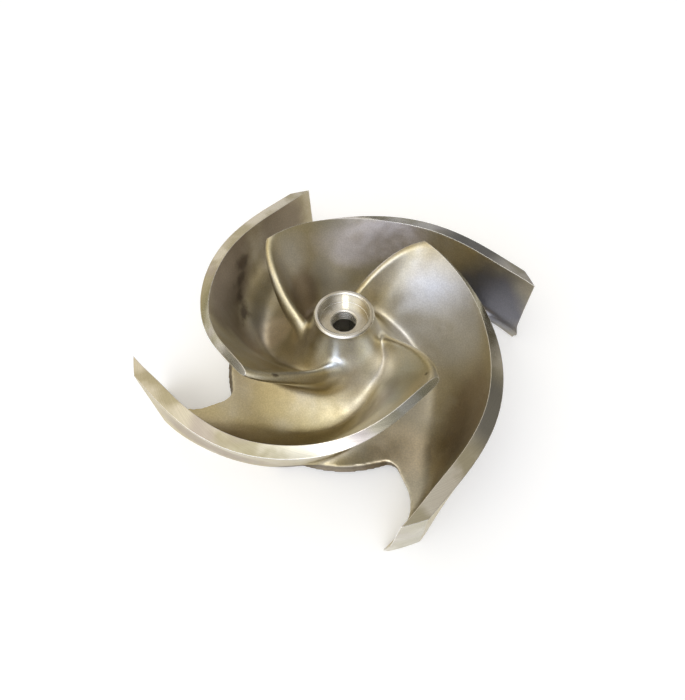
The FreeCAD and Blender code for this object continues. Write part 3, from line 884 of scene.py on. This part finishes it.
def finish_machined(material, light, dull, rough_from, rough_to, ring_depth):
    """Three tones in broad patches, two stretches darkened as painted shade, fine rings, and the screw hole's
    coarse grooves.
    """
    tree, shader = shader_of(material)
    where = node(tree, "TexCoord").outputs["Object"]
    height = node(tree, "SeparateXYZ", {0: where}).outputs["Z"]
    away = from_axis(tree, where)
    line = maths(tree, "ADD", away, maths(tree, "MULTIPLY", height, HEIGHT_SHARE))
    colour = blend(tree, span(tree, noise(tree, where, DULL_TONES, 3.0), 0.4, 0.62), light, dull)
    mauve = span(tree, noise(tree, where, MAUVE_TONES, 2.0), 0.52, 0.68, 0.0, 0.7)
    colour = blend(tree, mauve, colour, MAUVE)
    # painted shade darkens two stretches of the front face
    for middle, half in SHADED_STRETCHES:
        share = share_of(tree, where, middle, half, 0.0, 0.4, 1.1)
        colour = blend(tree, maths(tree, "MULTIPLY", share, 0.9), colour, FACE_SHADE)
    tone = span(tree, rings(tree, line, TONE_RINGS), 0.3, 0.7, 0.94, 1.03)
    colour = node(tree, "VectorMath", {0: colour, 3: tone}, operation="SCALE").outputs[0]
    # edges painted bright, partly as polish and partly as a painted highlight
    edge, soft_edge = wear_and_glint_share(tree, POLISH_GLINT_RADIUS)
    tree.links.new(blend(tree, edge, colour, POLISH_AND_GLINT), shader.inputs["Base Color"])
    rough = span(tree, noise(tree, where, SHINE_PATCHES, 3.0), 0.3, 0.7, rough_from, rough_to)
    tree.links.new(rough, shader.inputs["Roughness"])
    normal = bump(tree, rings(tree, line, CUT_RINGS), ring_depth, soft_edge)
    feed = maths(tree, "SINE", maths(tree, "MULTIPLY", height, 2 * math.pi / (GROOVE_PITCH * MM)))
    feed = maths(tree, "MULTIPLY", feed, span(tree, away, GROOVE_END * MM, GROOVE_FULL * MM))
    tree.links.new(bump(tree, feed, GROOVE_DEPTH, normal), shader.inputs["Normal"])
    shader.inputs["Anisotropic"].default_value = DRAWN_OUT
    shader.inputs["Anisotropic Rotation"].default_value = QUARTER_TURN
    tree.links.new(ring_direction(tree, where), shader.inputs["Tangent"])


finish_machined(turned_steel, light=(0.74, 0.7, 0.6), dull=(0.5, 0.46, 0.33),
                rough_from=0.16, rough_to=0.26, ring_depth=0.003)
finish_machined(bored_steel, light=(0.72, 0.69, 0.62), dull=(0.5, 0.45, 0.34),
                rough_from=0.18, rough_to=0.3, ring_depth=0.012)
print("machined nodes", len(turned_steel.node_tree.nodes))

# %% [markdown]
# The floor is plain and pale. To the camera and to reflections it glows a little as well, so the ground of
# the picture is white without more light on the metal, while the plain colour below still takes the
# shadow. The glow stops short of the hub, so that the screw hole looks down into the dark.

# %% Floor
FLOOR_HALF = 6.0
FLOOR_COLOUR, FLOOR_ROUGHNESS = (0.9, 0.9, 0.9, 1), 0.9
FLOOR_GLOW = 0.21
# distances from the shaft axis in millimetres where the glow begins and is full
SHADE_FROM, SHADE_TO = 36.0, 60.0


def add_floor():
    """A wide square floor at the back face, which glows to the camera and to reflections."""
    mesh = bpy.data.meshes.new("floor")
    size = FLOOR_HALF
    corners = [(-size, -size, 0), (size, -size, 0), (size, size, 0), (-size, size, 0)]
    mesh.from_pydata(corners, [], [(0, 1, 2, 3)])
    floor = bpy.data.objects.new("floor", mesh)
    bpy.context.scene.collection.objects.link(floor)
    material = bpy.data.materials.new("pale_floor")
    tree, shader = shader_of(material)
    shader.inputs["Metallic"].default_value = 0.0
    shader.inputs["Base Color"].default_value = FLOOR_COLOUR
    shader.inputs["Roughness"].default_value = FLOOR_ROUGHNESS
    shader.inputs["Emission Color"].default_value = (1, 1, 1, 1)
    rays = node(tree, "LightPath").outputs
    seen = maths(tree, "MAXIMUM", rays["Is Camera Ray"], rays["Is Glossy Ray"])
    seen = maths(tree, "MAXIMUM", seen, rays["Is Transmission Ray"])
    away = from_axis(tree, node(tree, "TexCoord").outputs["Object"])
    open_floor = span(tree, away, SHADE_FROM * MM, SHADE_TO * MM, 0.0, FLOOR_GLOW)
    tree.links.new(maths(tree, "MULTIPLY", seen, open_floor), shader.inputs["Emission Strength"])
    mesh.materials.append(material)
    return floor


floor = add_floor()
print("floor", floor.name)

# %% [markdown]
# The light is that of a plain studio. A wide bright ceiling panel and a cool low window stand in front, to
# the left of the camera, and weaker warm walls close the room behind. Each is a soft patch on the world:
# its brightness falls off with a power of the cosine from its middle. Between the patches the room is
# dark, because bright metal needs something dark to reflect, or it looks like plaster. One small square
# softbox is a lamp, for the glints on edges and in the bores and for a shadow on the floor. Together they
# light a level white sheet to about its own colour.

# %% Studio light
PATCH_POWER = 14.0
# azimuth and elevation of the middle in degrees, then radiance in red, green and blue
PATCHES = {
    "ceiling_front": (240, 62, (0.86, 0.9, 0.9)),
    "ceiling_right": (300, 62, (0.86, 0.86, 0.9)),
    "ceiling_left": (180, 62, (0.84, 0.84, 0.78)),
    "ceiling_back": (120, 62, (0.4, 0.37, 0.31)),
    "ceiling_rear": (60, 62, (0.62, 0.58, 0.52)),
    "softbox_left": (200, 36, (1.24, 1.14, 0.96)),
    "softbox": (240, 36, (1.2, 1.26, 1.38)),
    "softbox_right": (280, 36, (1.15, 1.18, 1.3)),
    "right": (322, 22, (0.22, 0.23, 0.23)),
    "window_left": (216, 10, (0.85, 0.96, 1.28)),
    "window_right": (252, 10, (0.76, 0.84, 1.12)),
    "wall_left": (160, 36, (0.7, 0.59, 0.4)),
    "wall_rear": (115, 34, (0.6, 0.56, 0.5)),
    "wall_right": (80, 34, (0.36, 0.38, 0.45)),
    "low_rear": (112, 10, (0.34, 0.3, 0.22)),
    "low_left": (144, 10, (0.3, 0.29, 0.18)),
    "low_right": (0, 12, (0.36, 0.31, 0.24)),
    "far_right": (0, 36, (0.27, 0.26, 0.22)),
}
DARK = (0.03, 0.028, 0.026)
# side of the softbox and its distance from the object's middle, in metres
KEY_SIZE, KEY_DISTANCE = 0.45, 1.6


def direction(azimuth, elevation):
    """Unit vector to a point of the sky, from its azimuth and elevation in degrees by cosines and sines."""
    turn, rise = math.radians(azimuth), math.radians(elevation)
    return Vector((math.cos(turn) * math.cos(rise), math.sin(turn) * math.cos(rise), math.sin(rise)))


def add_room():
    """World whose colour is a dark grey plus each patch times a power of the cosine from its middle."""
    world = bpy.data.worlds.new("studio")
    bpy.context.scene.world = world
    world.use_nodes = True
    tree = world.node_tree
    facing = node(tree, "TexCoord").outputs["Generated"]
    total = DARK
    for azimuth, elevation, colour in PATCHES.values():
        middle = direction(azimuth, elevation)
        match = node(tree, "VectorMath", {0: facing, 1: middle}, operation="DOT_PRODUCT").outputs["Value"]
        share = maths(tree, "POWER", maths(tree, "MAXIMUM", match, 0.0), PATCH_POWER)
        light = node(tree, "VectorMath", {0: colour, 3: share}, operation="SCALE").outputs[0]
        total = node(tree, "VectorMath", {0: total, 1: light}, operation="ADD").outputs[0]
    tree.links.new(total, tree.nodes["Background"].inputs["Color"])
    tree.nodes["Background"].inputs["Strength"].default_value = 1.0
    return world


def add_key(azimuth, elevation, radiance, colour):
    """Square area lamp that faces the object. Its power is pi times its area times its radiance."""
    data = bpy.data.lights.new("key_softbox", "AREA")
    data.shape = "SQUARE"
    data.size = KEY_SIZE
    data.energy = math.pi * KEY_SIZE * KEY_SIZE * radiance
    data.color = colour
    lamp = bpy.data.objects.new("key_softbox", data)
    away = direction(azimuth, elevation)
    turn = away.to_track_quat("Z", "Y").to_matrix().to_4x4()
    lamp.matrix_world = Matrix.Translation(away * KEY_DISTANCE) @ turn
    bpy.context.scene.collection.objects.link(lamp)
    return lamp


room = add_room()
key = add_key(azimuth=262, elevation=56, radiance=3.4, colour=(1.0, 0.98, 0.93))
bpy.context.scene.view_settings.view_transform = "Standard"
print("patches of light", len(PATCHES), "in", room.name, "and a lamp,", key.name)
